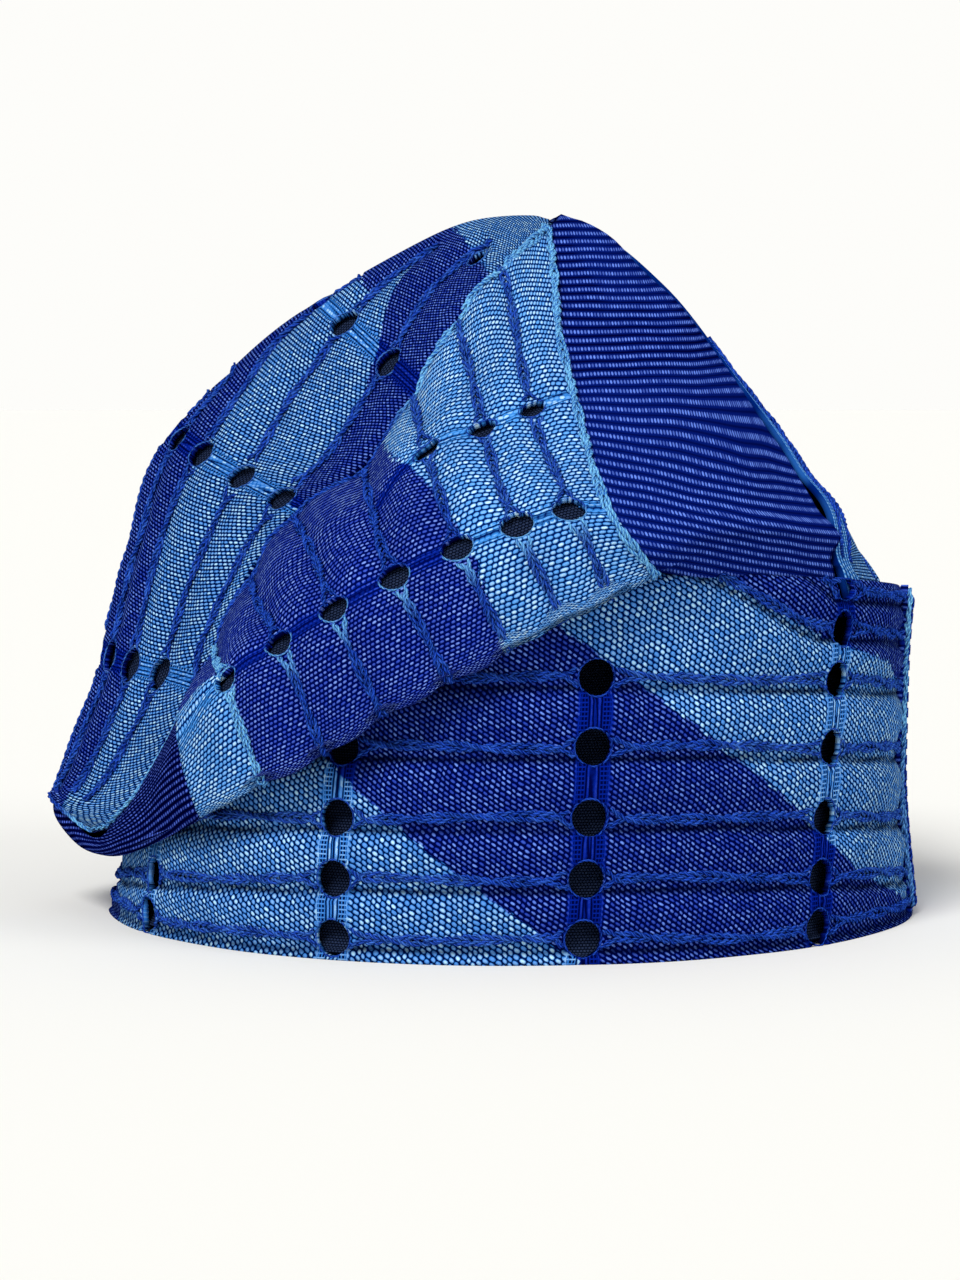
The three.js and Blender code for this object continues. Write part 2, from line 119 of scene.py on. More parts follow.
LEFT = [
    ((-75.4, -58, 21.8), (-78.5, -54, 27), (-79.5, -45, 31.5), (-78.9, -38, 34.1), (2.6, 28.5)),
    ((-84.1, -42, 16.8), (-87, -39, 18.5), (-88, -34, 20.5), (-88, -30, 22), (2.6, 23)),
    ((-91, -20, 13.5), (-94.2, -20, 14.6), (-95, -19.5, 16.6), (-94, -18, 18.2), (2.6, 19.5)),
    ((-94, 0, 13), (-99, 0, 15.4), (-103, 0, 20), (-104, 0, 25), (2.6, 19)),
    ((-91, 20, 13.5), (-94.2, 20, 14.6), (-95, 19.5, 16.6), (-94, 18, 18.2), (2.6, 19.5)),
    ((-84.1, 42, 16.8), (-87, 39, 18.5), (-88, 34, 20.5), (-88, 30, 22), (2.6, 23)),
    ((-75.4, 58, 21.8), (-78.5, 54, 27), (-79.5, 45, 31.5), (-78.9, 38, 34.1), (2.6, 28.5)),
]
SPINE = [
    (8.5, 0, 155.4), (-8.1, 0, 154.6), (-24.9, 0, 147.4), (-43.3, 0, 136.5), (-61.9, 0, 121.7),
    (-80, 0, 102.4), (-87, 0, 81.5), (-91.9, 0, 61.2), (-94.6, 0, 50.5), (-100.6, 0, 34.8),
    (-103.2, 0, 28.8), (-104, 0, 25),
]
LOBE = 3                   # the top panel runs on past the tip seam over this many gusset meridians
LINING = [
    # height, centre x, half width, half depth
    (1.2, 0, 88.3, 95.4),
    (6, 0, 85.6, 93),
    (36, 3, 80, 90),
    (62, 9, 70, 80),
    (84, 4, 56, 67),
    (102, -5, 58, 60),
    (118, -7, 44, 46),
    (133, -3, 29, 29),
    (143, 2, 15, 13),
    (146.5, 4, 1.2, 1.2),
]


def spline(points, at):
    """Catmull-Rom curve through points[0], points[1], ... at the numbers in at; points may be arrays."""
    points = np.asarray(points, float)
    last = len(points) - 1
    step = np.clip(np.floor(at).astype(int), 0, last - 1)
    column = (-1,) + (1,) * (points.ndim - 1)
    t = (np.asarray(at, float) - step).reshape(column)
    before = np.where(step > 0, step - 1, 0)
    after = np.where(step < last - 1, step + 2, last)
    p0, p1, p2, p3 = points[before], points[step], points[step + 1], points[after]
    p0 = np.where((step == 0).reshape(column), 2 * p1 - p2, p0)
    p3 = np.where((step == last - 1).reshape(column), 2 * p2 - p1, p3)
    return 0.5 * (2 * p1 + (p2 - p0) * t + (2 * p0 - 5 * p1 + 4 * p2 - p3) * t ** 2
                  + (3 * p1 - p0 - 3 * p2 + p3) * t ** 3)


def smooth_step(low, high, x):
    """0 at low, 1 at high, smooth between; low may be above high."""
    t = np.clip((x - low) / (high - low), 0, 1)
    return t * t * (3 - 2 * t)


def bell(x, middle, width):
    """1 at the middle, fading to nothing on both sides."""
    return np.exp(-((x - middle) / width) ** 2)


def wrapped(angle):
    """The same angle from -180 to 180 degrees."""
    return (angle + 180) % 360 - 180


def nearest(far):
    """The one of several signed distances that is nearest to 0, place by place."""
    far = np.array(far)
    return np.take_along_axis(far, np.argmin(np.abs(far), 0)[None], 0)[0]


def all_dark(u, v):
    """The stripe of cloth that has no light part."""
    return u * 0 - 6


def band_point(angle, z, out=0.0):
    """Points on the band's outer face, or out from it; angle in degrees, 0 at the right, -90 in front."""
    angle = np.asarray(angle, float)
    z = np.asarray(z, float)
    turned = np.abs(wrapped(angle))
    table = np.array(LEAN)
    middle = np.interp(turned, table[:, 0], table[:, 1])
    top = np.interp(turned, table[:, 0], table[:, 2])
    # a smooth curve through 0 at the rim, middle at 40 mm and top at 80 mm
    h = z / 40
    lean = middle * h * (2 - h) + top * h * (h - 1) / 2
    a = RIM_HALF_WIDTH + lean + out
    b = RIM_HALF_DEPTH + lean + out
    turn = np.radians(angle)
    return np.stack([a * np.cos(turn), b * np.sin(turn), z + 0 * turn], -1)


def angle_of(point):
    return math.degrees(math.atan2(point[1] / RIM_HALF_DEPTH, point[0] / RIM_HALF_WIDTH))


def key_points(meridian):
    hem, belly, knee, crest, (out, z) = meridian
    hem = np.array(hem, float)
    end = band_point(angle_of(hem), z, out)
    under = end + (hem - end) * 0.62
    under[2] = hem[2] + (0.6 if z > hem[2] else -3.5)
    return [end, under, hem, belly, knee, crest]


class Surface:
    """A cloth surface of two numbers: u along the panel and v across it.

    facing is -1 where u runs the other way round the cap, so that normals still point out."""

    def __init__(self, place, u, v, closed=False, facing=1):
        self.u, self.v, self.closed, self.facing = np.asarray(u, float), np.asarray(v, float), closed, facing
        self.points = place(self.u, self.v)
        self.normals = facing * normals_of(self.points, closed)
        self.along = lengths_along(self.points, 0)
        self.across = lengths_along(self.points, 1)
        self.relief = np.zeros(self.points.shape[:2])

    def sample(self, field, u, v):
        """Values of a field given at the grid, between its lines, at arrays of u and v."""
        u, v = np.asarray(u, float), np.asarray(v, float)
        if self.closed:
            u = (u - self.u[0]) % 360 + self.u[0]
            grid_u = np.append(self.u, self.u[0] + 360)
        else:
            grid_u = self.u
        i = np.clip(np.searchsorted(grid_u, u, side="right") - 1, 0, len(grid_u) - 2)
        j = np.clip(np.searchsorted(self.v, v, side="right") - 1, 0, len(self.v) - 2)
        a = np.clip((u - grid_u[i]) / (grid_u[i + 1] - grid_u[i]), 0, 1)[..., None]
        b = np.clip((v - self.v[j]) / (self.v[j + 1] - self.v[j]), 0, 1)[..., None]
        k = (i + 1) % len(self.u)
        flat = field if field.ndim == 3 else field[..., None]
        got = ((flat[i, j] * (1 - a) + flat[k, j] * a) * (1 - b)
               + (flat[i, j + 1] * (1 - a) + flat[k, j + 1] * a) * b)
        return got if field.ndim == 3 else got[..., 0]

    def scale(self, u, v):
        """Millimetres for one step of u and of v at a place."""
        reach_u = 0.6 * (self.u[1] - self.u[0])
        reach_v = 0.6 * (self.v[-1] - self.v[-2])
        du = self.sample(self.points, u + reach_u, v) - self.sample(self.points, u - reach_u, v)
        dv = self.sample(self.points, u, v + reach_v) - self.sample(self.points, u, v - reach_v)

        def kept(at, grid, reach):
            # what the panel's edges leave of the reach on both sides
            return np.clip(at + reach, grid[0], grid[-1]) - np.clip(at - reach, grid[0], grid[-1])
        span_u = 2 * reach_u if self.closed else kept(u, self.u, reach_u)
        span_v = kept(v, self.v, reach_v)
        return np.linalg.norm(du, axis=-1) / span_u, np.linalg.norm(dv, axis=-1) / span_v

    def at(self, u, v, out=0.0):
        """Points on the finished face, or out from it, and the normals there."""
        normals = unit(self.sample(self.normals, u, v))
        lift = self.sample(self.relief, u, v) + out
        return self.sample(self.points, u, v) + normals * np.asarray(lift)[..., None], normals


def unit(vectors):
    """The same vectors with a length of 1."""
    return vectors / np.maximum(np.linalg.norm(vectors, axis=-1, keepdims=True), 1e-9)


def normals_of(points, closed):
    along = np.roll(points, -1, 0) - np.roll(points, 1, 0) if closed else np.gradient(points, axis=0)
    return unit(np.cross(along, np.gradient(points, axis=1)))


def lengths_along(points, axis):
    steps = np.linalg.norm(np.diff(points, axis=axis), axis=-1)
    start = np.zeros_like(np.take(steps, [0], axis))
    return np.concatenate([start, np.cumsum(steps, axis)], axis)


def new_mesh(name, vertices, faces, attributes, uv):
    """A smooth mesh object in the row's frame from millimetres; uv and attributes are per vertex."""
    mesh = bpy.data.meshes.new(name)
    mesh.from_pydata(((vertices + CENTRE) * MM).tolist(), [], faces)
    mesh.update()
    layer = mesh.uv_layers.new(name="cloth")
    loops = np.empty(len(mesh.loops), np.int32)
    mesh.loops.foreach_get("vertex_index", loops)
    layer.data.foreach_set("uv", (uv * UV_SCALE)[loops].ravel())
    for key, values in attributes.items():
        layer = mesh.attributes.new(key, "FLOAT", "POINT")
        layer.data.foreach_set("value", values)
    mesh.polygons.foreach_set("use_smooth", [True] * len(mesh.polygons))
    piece = bpy.data.objects.new(name, mesh)
    bpy.context.scene.collection.objects.link(piece)
    return piece


def wander(x, y, seed=0.0):
    """Slow wandering between about -1 and 1, the same on each run."""
    return (np.sin(x * 0.071 + 1.3 * np.sin(y * 0.053 + seed)) * np.cos(y * 0.083 + seed * 2.1)
            + 0.6 * np.sin(x * 0.143 - y * 0.117 + 3 * seed) + 0.4 * np.sin(x * 0.031 + y * 0.191 - seed)) / 2


def cloth(name, surface, stripe, holes=(), ribs=None, rows=None, wall=WALL, seed=0.0, seams=(1, 1, 0, 1),
          dip=1.1, billow=1.3, crumple=0.5, groove_and_shadow=0.0, lengths=None, form=None):
    """A closed wall of cloth over a surface, with eyelets cut out and its stripe and fabric lengths kept.

    holes are (u, v, half length along u, half length along v); ribs and rows give millimetres from the
    nearest braid and from the nearest line of eyelets; seams is 1 where the start, end, low and high
    edges are sewn and 0 where they aren't; dip is how deep such a seam is drawn in; lengths gives
    the weave's own run where it differs from the surface's, and form adds folds of millimetres."""
    u, v, closed = surface.u, surface.v, surface.closed
    grid_u, grid_v = np.meshgrid(u, v, indexing="ij")
    far_rib = ribs(grid_u, grid_v) if ribs else np.full(grid_u.shape, FAR)
    far_row = rows(grid_u, grid_v) if rows else np.full(grid_u.shape, FAR)
    x, y = surface.along, surface.across
    relief = crumple * wander(x, y, seed)
    if form:
        relief += form(grid_u, grid_v)
    relief -= billow * bell(far_rib, 0, 4.2) + groove_and_shadow * bell(far_rib, -2.4, 1.2)
    relief -= 0.35 * bell(far_row, 0, 3.2)
    if not closed:
        for sewn, distance in zip(seams, (x, x[-1:] - x, y, y[:, -1:] - y)):
            relief -= sewn * dip * bell(distance, 0, 1.8)
    next_u = np.append(u[1:], u[0] + 360) if closed else u[1:]
    middle_u = 0.5 * (u[:len(next_u)] + next_u)
    middle_v = 0.5 * (v[1:] + v[:-1])
    cell_u, cell_v = np.meshgrid(middle_u, middle_v, indexing="ij")
    kept = np.ones(cell_u.shape, bool)
    last_i, last_j = kept.shape[0] - 1, kept.shape[1] - 1
    moved_u, moved_v = grid_u.copy(), grid_v.copy()
    for hole_u, hole_v, half_u, half_v in holes:
        scale_u, scale_v = surface.scale(hole_u, hole_v)
        reach_u, reach_v = half_u / scale_u, half_v / scale_v

        def offset(at_u, at_v):
            du = wrapped(at_u - hole_u) if closed else at_u - hole_u
            return du / reach_u, (at_v - hole_v) / reach_v
        cu, cv = offset(cell_u, cell_v)
        cut = cu ** 2 + cv ** 2 < 1
        kept &= ~cut
        gu, gv = offset(grid_u, grid_v)
        far = np.sqrt(gu ** 2 + gv ** 2)
        # a low rim rises round the eyelet
        relief += 0.5 * bell(far, 1.1, 0.22)
        near = np.nonzero(far < 1.9)
        gu, gv, far = gu[near], gv[near], far[near]
        # which of the four cells round each corner are cut out
        inside = np.array([cut[(near[0] + di) % len(cut) if closed else np.clip(near[0] + di, 0, last_i),
                               np.clip(near[1] + dj, 0, last_j)] for di in (-1, 0) for dj in (-1, 0)])
        edge = inside.any(0) & ~inside.all(0)
        # the ring of cloth just outside follows the edge, so that no cell there is crushed
        outside = ~inside.any(0)
        ring = np.maximum(far, 1 + (far - 1) * 0.5 + 0.16)
        pushed = np.where(edge, 1.0, np.where(outside & (far <= 1.5), ring, far))
        grow = pushed / np.maximum(far, 1e-6)
        moved_u[near] = hole_u + gu * grow * reach_u
        moved_v[near] = hole_v + gv * grow * reach_v
    surface.relief = relief
    grid_u, grid_v = moved_u, moved_v
    outer = surface.sample(surface.points, grid_u, grid_v)
    normals = unit(surface.sample(surface.normals, grid_u, grid_v))
    outer = outer + normals * relief[..., None]
    inner = outer - normals * wall
    outer[..., 2] = np.maximum(outer[..., 2], 0)
    inner[..., 2] = np.maximum(inner[..., 2], 0)

    count = grid_u.size
    number = np.arange(count).reshape(grid_u.shape)
    here, after = (number, np.roll(number, -1, 0)) if closed else (number[:-1], number[1:])
    corners = np.stack([here[:, :-1], after[:, :-1], after[:, 1:], here[:, 1:]], -1)
    if surface.facing < 0:
        corners = corners[..., ::-1]
    quads = corners[kept]
    faces = [quads, quads[:, ::-1] + count]
    # walls close every edge that one kept cell has to itself
    sides = np.concatenate([quads[:, [k, (k + 1) % 4]] for k in range(4)])
    forward = sides[:, 0] * count + sides[:, 1]
    backward = sides[:, 1] * count + sides[:, 0]
    single = sides[~np.isin(forward, backward)]
    faces.append(np.stack([single[:, 1], single[:, 0], single[:, 0] + count, single[:, 1] + count], -1))
    faces = np.concatenate(faces)
    used, faces = np.unique(faces, return_inverse=True)
    faces = faces.reshape(-1, 4)
    vertices = np.concatenate([outer.reshape(-1, 3), inner.reshape(-1, 3)])[used]
    if closed:
        along = np.radians(grid_u - u[0]) * MEAN_RADIUS
    else:
        along = surface.sample(surface.along, grid_u, grid_v)
    across = surface.sample(surface.across, grid_u, grid_v)
    if lengths:
        along, across = lengths(outer, grid_u, grid_v, along, across)
    uv = np.stack([along, across], -1).reshape(-1, 2)
    # beside each braid the cloth is sunk into a real groove, and the same field carries a painted shadow line
    # along it
    fields = {"stripe": np.clip(stripe(grid_u, grid_v), -6, 6), "row": np.clip(np.abs(far_row), 0, FAR),
              "groove_and_shadow": groove_and_shadow * bell(far_rib, -2.5, 0.9)}
    fields = {key: np.concatenate([values.ravel()] * 2)[used] for key, values in fields.items()}
    return new_mesh(name, vertices, faces.tolist(), fields, np.concatenate([uv, uv])[used])


def tubes(name, paths, radius):
    """One mesh of closed threads; paths are (points, up vectors, tint)."""
    sides = 4
    turn = 2 * math.pi * np.arange(sides) / sides
    vertices, faces, uv, tints = [], [], [], []
    base = 0
    for points, ups, tint in paths:
        tangent = unit(np.gradient(points, axis=0))
        side = unit(np.cross(tangent, ups))
        up = np.cross(side, tangent)
        ring = np.cos(turn)[None, :, None] * side[:, None] + np.sin(turn)[None, :, None] * up[:, None]
        vertices.append((points[:, None] + radius * ring).reshape(-1, 3))
        run = lengths_along(points, 0)
        uv.append(np.stack([np.repeat(run, sides), np.tile(turn * 0.5, len(points))], -1))
        tints.append(np.repeat(np.broadcast_to(tint, (len(points),)), sides))
        number = base + np.arange(len(points) * sides).reshape(len(points), sides)
        near, far = number[:-1], number[1:]
        quads = np.stack([near, far, np.roll(far, -1, 1), np.roll(near, -1, 1)], -1).reshape(-1, 4)
        faces += [*quads.tolist(), number[0].tolist(), number[-1][::-1].tolist()]
        base += len(points) * sides
    vertices = np.concatenate(vertices)
    vertices[:, 2] = np.maximum(vertices[:, 2], 0)
    return new_mesh(name, vertices, faces, {"stripe": np.concatenate(tints)}, np.concatenate(uv))


def runs_of(good, shortest):
    """Start and end of each run of good places that is longer than shortest."""
    ends = np.flatnonzero(np.diff(np.concatenate([[0], good.astype(int), [0]])))
    return [(first, last) for first, last in zip(ends[::2], ends[1::2]) if last - first > shortest]


def braid_strands(surface, u, v, eyelets=(), half=0.66, lift=0.4, pitch=4.2, step=0.7, tint=0.0,
                  phase=0.0, gap=EYELET, spread=1.9, ply=0.4):
    """Two twisted cords laid side by side along a line on a surface, parting at each eyelet on it.

    u and v are the line's own numbers, close together; eyelets are places along it as (u, v)."""
    u, v = np.broadcast_arrays(u, v)
    points, _ = surface.at(u, v)
    run = lengths_along(points, 0)
    count = max(int(run[-1] / step), 4)
    even = np.linspace(0, run[-1], count)
    u, v = np.interp(even, run, u), np.interp(even, run, v)
    points, normals = surface.at(u, v)
    side = np.cross(normals, unit(np.gradient(points, axis=0)))
    away = np.full(count, 99.0)
    for eyelet in eyelets:
        middle, _ = surface.at(*eyelet)
        away = np.minimum(away, np.linalg.norm(points - middle, axis=1) - gap)
    part = 1 - smooth_step(-0.5, 3.6, away)
    tuck = 1 - smooth_step(-0.2, 1.5, away)
    runs = runs_of(away > -0.35, 3)
    paths = []
    # the cords change sides slowly, about once in 27 mm, and drift a little about the line
    slow = 2 * math.pi * even / 27 + phase + 0.8 * np.sin(even * 0.11)
    drift = 0.4 * np.sin(even * 0.09 + phase * 2) * (1 - part)
    for k in range(4):
        hand = 1 if k % 2 else -1
        turn = hand * 2 * math.pi * (even / pitch + (k // 2) / 2) + phase
        width = drift + hand * (half * np.cos(slow) * (1 - part) + part * spread) + ply * np.cos(turn)
        height = lift + ply * 0.8 * np.sin(turn) + 0.28 * hand * np.sin(slow) * (1 - part) - 0.75 * tuck
        path = points + side * width[:, None] + normals * height[:, None]
        # one ply of each cord is a little lighter than the other
        colour = np.broadcast_to(tint(u, v) if callable(tint) else tint, (count,)) + 0.14 * (k // 2)
        paths += [(path[first:last], normals[first:last], colour[first:last]) for first, last in runs]
    return paths


def eyelet_rings(surface, holes, tint):
    """A stitched cord round each eyelet, as open threads whose ends meet."""
    paths = []
    turn = np.linspace(0, 2 * math.pi, 23)
    for hole_u, hole_v, half_u, half_v in holes:
        scale_u, scale_v = surface.scale(hole_u, hole_v)
        u = hole_u + (half_u + 0.15) / scale_u * np.cos(turn)
        v = hole_v + (half_v + 0.15) / scale_v * np.sin(turn)
        points, normals = surface.at(u, v, -0.1)
        paths.append((points, normals, tint(u, v) if callable(tint) else tint))
    return paths


def maths(operation):
    """A method that works a sum out in a node of its own."""
    def method(*items):
        tree = items[0].tree
        node = tree.nodes.new("ShaderNodeMath")
        node.operation = operation
        for place, item in enumerate(items):
            if isinstance(item, Number):
                tree.links.new(item.socket, node.inputs[place])
            else:
                node.inputs[place].default_value = item
        return Number(tree, node.outputs[0])
    return method


class Number:
    """A shader value that writes its own maths nodes."""
    __add__ = maths("ADD")
    __sub__ = maths("SUBTRACT")
    __mul__ = maths("MULTIPLY")
    __truediv__ = maths("DIVIDE")
    floor = maths("FLOOR")
    abs = maths("ABSOLUTE")
    power = maths("POWER")
    sin = maths("SINE")
    maximum = maths("MAXIMUM")
    minimum = maths("MINIMUM")

    def __init__(self, tree, socket):
        self.tree, self.socket = tree, socket

    def invert(self):
        return (self * -1) + 1

    def step(self, low, high):
        """0 at low, 1 at high, smooth between; low may be above high."""
        node = self.tree.nodes.new("ShaderNodeMapRange")
        node.interpolation_type = "SMOOTHSTEP"
        self.tree.links.new(self.socket, node.inputs["Value"])
        flip = low > high
        node.inputs["From Min"].default_value, node.inputs["From Max"].default_value = sorted((low, high))
        node.inputs["To Min"].default_value, node.inputs["To Max"].default_value = (1, 0) if flip else (0, 1)
        return Number(self.tree, node.outputs[0])

    def mix(self, low, high):
        """low where this is 0 and high where it is 1."""
        return low * self.invert() + high * self


def rgb(r, g, b):
    """Linear colour from everyday 0 to 255 values."""
    shares = [c / 255 for c in (r, g, b)]
    return (*[c / 12.92 if c <= 0.04045 else ((c + 0.055) / 1.055) ** 2.4 for c in shares], 1)


def mix_colours(factor, low, high):
    """The colour low where the factor is 0 and high where it is 1."""
    tree = factor.tree
    node = tree.nodes.new("ShaderNodeMix")
    node.data_type = "RGBA"
    tree.links.new(factor.socket, node.inputs["Factor"])
    for item, place in ((low, 6), (high, 7)):
        if isinstance(item, tuple):
            node.inputs[place].default_value = item
        else:
            tree.links.new(item, node.inputs[place])
    return node.outputs[2]


def new_material(name, roughness=0.55):
    """A dull material, its node tree and its shader."""
    made = bpy.data.materials.new(name)
    made.use_nodes = True
    shader = made.node_tree.nodes["Principled BSDF"]
    shader.inputs["Roughness"].default_value = roughness
    shader.inputs["Specular IOR Level"].default_value = 0.0
    return made, made.node_tree, shader


def coordinates(tree):
    """The cloth's own lengths in millimetres."""
    source = tree.nodes.new("ShaderNodeUVMap")
    source.uv_map = "cloth"
    split = tree.nodes.new("ShaderNodeSeparateXYZ")
    tree.links.new(source.outputs[0], split.inputs[0])
    return [Number(tree, split.outputs[k]) * (1 / UV_SCALE) for k in range(2)]


def attribute(tree, name):
    node = tree.nodes.new("ShaderNodeAttribute")
    node.attribute_name = name
    return Number(tree, node.outputs["Fac"])


def texture(kind, x, y, output=0, **settings):
    """A texture node's value at x and y."""
    tree = x.tree
    join = tree.nodes.new("ShaderNodeCombineXYZ")
    tree.links.new(x.socket, join.inputs[0])
    tree.links.new(y.socket, join.inputs[1])
    node = tree.nodes.new(kind)
    for key, value in settings.items():
        node.inputs[key].default_value = value
    tree.links.new(join.outputs[0], node.inputs["Vector"])
    return Number(tree, node.outputs[output])


def noise(x, y, scale, detail=2.0):
    return texture("ShaderNodeTexNoise", x, y, Scale=scale, Detail=detail)


def weave(x, y, wide, tall, shift, slant=0.0, long_=0.47, thick=0.46):
    """Height 0 to 1 of rounded float stitches in offset rows, and a random number for each stitch."""
    lane = y / tall
    row = lane.floor()
    fy = lane - row - 0.5
    place = x / wide + row * shift
    column = place.floor()
    fx = place - column - 0.5 + fy * slant
    bulge = (fx.abs() / long_).power(2.4) + (fy.abs() / thick).power(2.2)
    height = bulge.invert().maximum(0.0).power(0.5)
    return height, texture("ShaderNodeTexWhiteNoise", column, row, "Value")


# Palettes are gap, stitch and highlight: the gap colour is painted shade between the stitches and the
# highlight a painted highlight; LIGHT and DARK are the cloth's light blue and royal blue stripes.
LIGHT = [rgb(0, 9, 64), rgb(47, 126, 218), rgb(196, 240, 255)]       # gap, stitch, highlight
DARK = [rgb(0, 4, 58), rgb(6, 36, 154), rgb(130, 172, 255)]
# the front wall's palettes are a brighter lit copy of the band's: painted light for the stronger light on the
# front wall
FRONT_LIT_SHADES = ([rgb(0, 20, 88), rgb(64, 150, 238), rgb(212, 246, 255)],
                [rgb(0, 6, 74), rgb(14, 46, 172), rgb(150, 186, 255)])


def shade(height, chance, palette, glint):
    """A stitch's colour from its height: painted shade in the gaps, a painted highlight on top; chance makes
    some stitches shine more than others.
    """
    # painted shade: low parts of a stitch take the gap colour
    body = mix_colours(height.step(0.15, 0.8), palette[0], palette[1])
    # painted highlight on the stitch tops
    shine = (height.step(0.6, 0.98) * (chance.power(1.8) * 0.85 + 0.15)) * glint
    return mix_colours(shine, body, palette[2])


def surface_of(shader, colour, height, relief):
    """Give the shader its colour, and bumps of a height 0 to 1 times relief in millimetres."""
    tree = height.tree
    tree.links.new(colour, shader.inputs["Base Color"])
    node = tree.nodes.new("ShaderNodeBump")
    node.inputs["Distance"].default_value = relief * MM
    node.inputs["Strength"].default_value = 1.0
    tree.links.new(height.socket, node.inputs["Height"])
    tree.links.new(node.outputs[0], shader.inputs["Normal"])


def openwork(name, light, dark, row_along, swap=False, twill=0.0, reach=4.0, shades=(LIGHT, DARK)):
    """Strip cloth: light and dark float weaves that meet along the stripes, and laddered lines of eyelets.

    light and dark are (wide, tall, shift, slant, long, thick) in millimetres and shares of a stitch;
    reach is how far the pulled threads run from a line of eyelets."""
    made, tree, shader = new_material(name)
    x, y = coordinates(tree)
    wx, wy = (y, x) if swap else (x, y)
    soft = noise(x, y, 0.16, 3)
    wx = wx + (soft - 0.5) * 2.2
    if twill:
        lean = math.radians(twill)
        wx, wy = wx * math.cos(lean) - wy * math.sin(lean), wx * math.sin(lean) + wy * math.cos(lean)
    light_height, light_chance = weave(wx, wy, *light)
    dark_height, dark_chance = weave(wx, wy, *dark)
    stripe = attribute(tree, "stripe") + (light_chance - 0.5)
    is_light = stripe.step(-0.25, 0.25)
    row = attribute(tree, "row")
    # short ladders are fainter
    ladder = row.step(reach + 0.6, reach - 0.6) * min(1.0, 0.36 + 0.16 * reach)
    run = x if row_along == "x" else y
    post = ((row - 0.9).abs().minimum((row - 3.7).abs())).step(0.5, 0.1)
    rung = ((run * (2 * math.pi / 0.95)).sin()).step(-0.4, 0.8) * row.step(1.3, 1.7) * 0.6
    fine = ((row * (2 * math.pi / 0.75)).sin()).step(-0.8, 0.8) * 0.5
    lattice = (post * 0.66).maximum(rung).maximum(fine) * (is_light * 0.3 + 1.0)
    height = ladder.mix(is_light.mix(dark_height, light_height), lattice)
    light_colour = shade(height, light_chance, shades[0], 0.9)
    dark_colour = shade(height, dark_chance, shades[1], 0.7)
    colour = mix_colours(is_light, dark_colour, light_colour)
    # painted shadow: a dark line along the low side of each braid
    colour = mix_colours(attribute(tree, "groove_and_shadow").step(0.1, 0.8) * 0.85, colour, rgb(0, 2, 30))
    mottle = noise(x, y, 0.05)
    colour = mix_colours(mottle.step(0.35, 0.75) * 0.18, colour, DARK[0])
    fibre = noise(wx, wy * 5.0, 3.0)
    surface_of(shader, colour, height + fibre * 0.16, 0.42)
    return made


def ribbed(name, wide, tall, palette, upright=False):
    """Gusset cloth: ribs with a row of small stitches on each, in places pulled nearly smooth."""
    made, tree, shader = new_material(name)
    x, y = coordinates(tree)
    if upright:
        x, y = y, x
    y = y + (noise(x, y, 0.05, 1) - 0.5) * 1.6
    rib_lane = y / tall
    rib = (rib_lane - rib_lane.floor() - 0.5).abs()
    ridge = (rib * 2).power(3.0).invert()
    smooth = noise(x, y, 0.03, 1).step(0.5, 0.62).maximum(attribute(tree, "row").step(8.8, 5.5)) * 0.7
    height, chance = weave(x, y, wide, tall, 0.37, 0.25, 0.40, 0.27)
    full = smooth.mix(ridge * 0.6, ridge * 0.2 + 0.4) + height * 0.45
    # painted shade: the hollows between ribs and stitches take palette[0], the tops palette[1]
    colour = mix_colours(full.step(0.1, 0.85), palette[0], palette[1])
    # painted highlight on the stitches in palette[2]
    bead_highlight = height.step(0.35, 0.95) * (chance * 0.6 + 0.25)
    colour = mix_colours(bead_highlight, colour, palette[2])
    colour = mix_colours(attribute(tree, "stripe").step(-0.3, 0.3) * 0.75, colour, palette[0])
    surface_of(shader, colour, full, 0.45)
    return made


def thread(name, low, high):
    """Twisted thread, painted darker in the twist's hollows and lighter on its crowns; stripe 0 gives the low
    palette and 1 the high one.
    """
    made, tree, shader = new_material(name)
    x, y = coordinates(tree)
    twist = ((x * 5.2 + y * 4.0).sin() * 0.5 + 0.5).power(1.5)
    # painted shade and highlight along the twist, with tone that differs at random
    twist_shade_and_tone = twist * 0.6 + noise(x, y, 0.25).step(0.3, 0.7) * 0.4
    dim, bright = (mix_colours(twist_shade_and_tone, *pair) for pair in (low, high))
    colour = mix_colours(attribute(tree, "stripe").step(0.0, 1.0), dim, bright)
    surface_of(shader, colour, twist, 0.12)
    return made


def plain_weave(name, palette):
    """The lining's fine, dull cloth."""
    made, tree, shader = new_material(name, 0.85)
    height, chance = weave(*coordinates(tree), 0.8, 0.6, 0.5)
    # painted shade in the gaps between stitches and a faint painted highlight on top, through shade()
    surface_of(shader, shade(height, chance, palette, 0.2), height, 0.15)
    return made


def camera():
    """The photograph's view: a long lens a little above the rim, looking along +Y."""
    distance, elevation = 1100.0, math.radians(4.3)
    view_height = 288.26       # what the frame's long side spans at the cap
    target = np.array([-6.98, 0, 60.09])
    eye = target - distance * np.array([0, math.cos(elevation), -math.sin(elevation)])
    data = bpy.data.cameras.new("camera")
    data.sensor_fit = "AUTO"
    data.sensor_width = 36
    data.lens = 36 * distance / view_height
    data.clip_start, data.clip_end = 0.05, 20
    made = bpy.data.objects.new("camera", data)
    made.location = Vector((eye + CENTRE) * MM)
    made.rotation_euler = (math.pi / 2 - elevation, 0, 0)
    bpy.context.scene.collection.objects.link(made)
    bpy.context.scene.camera = made


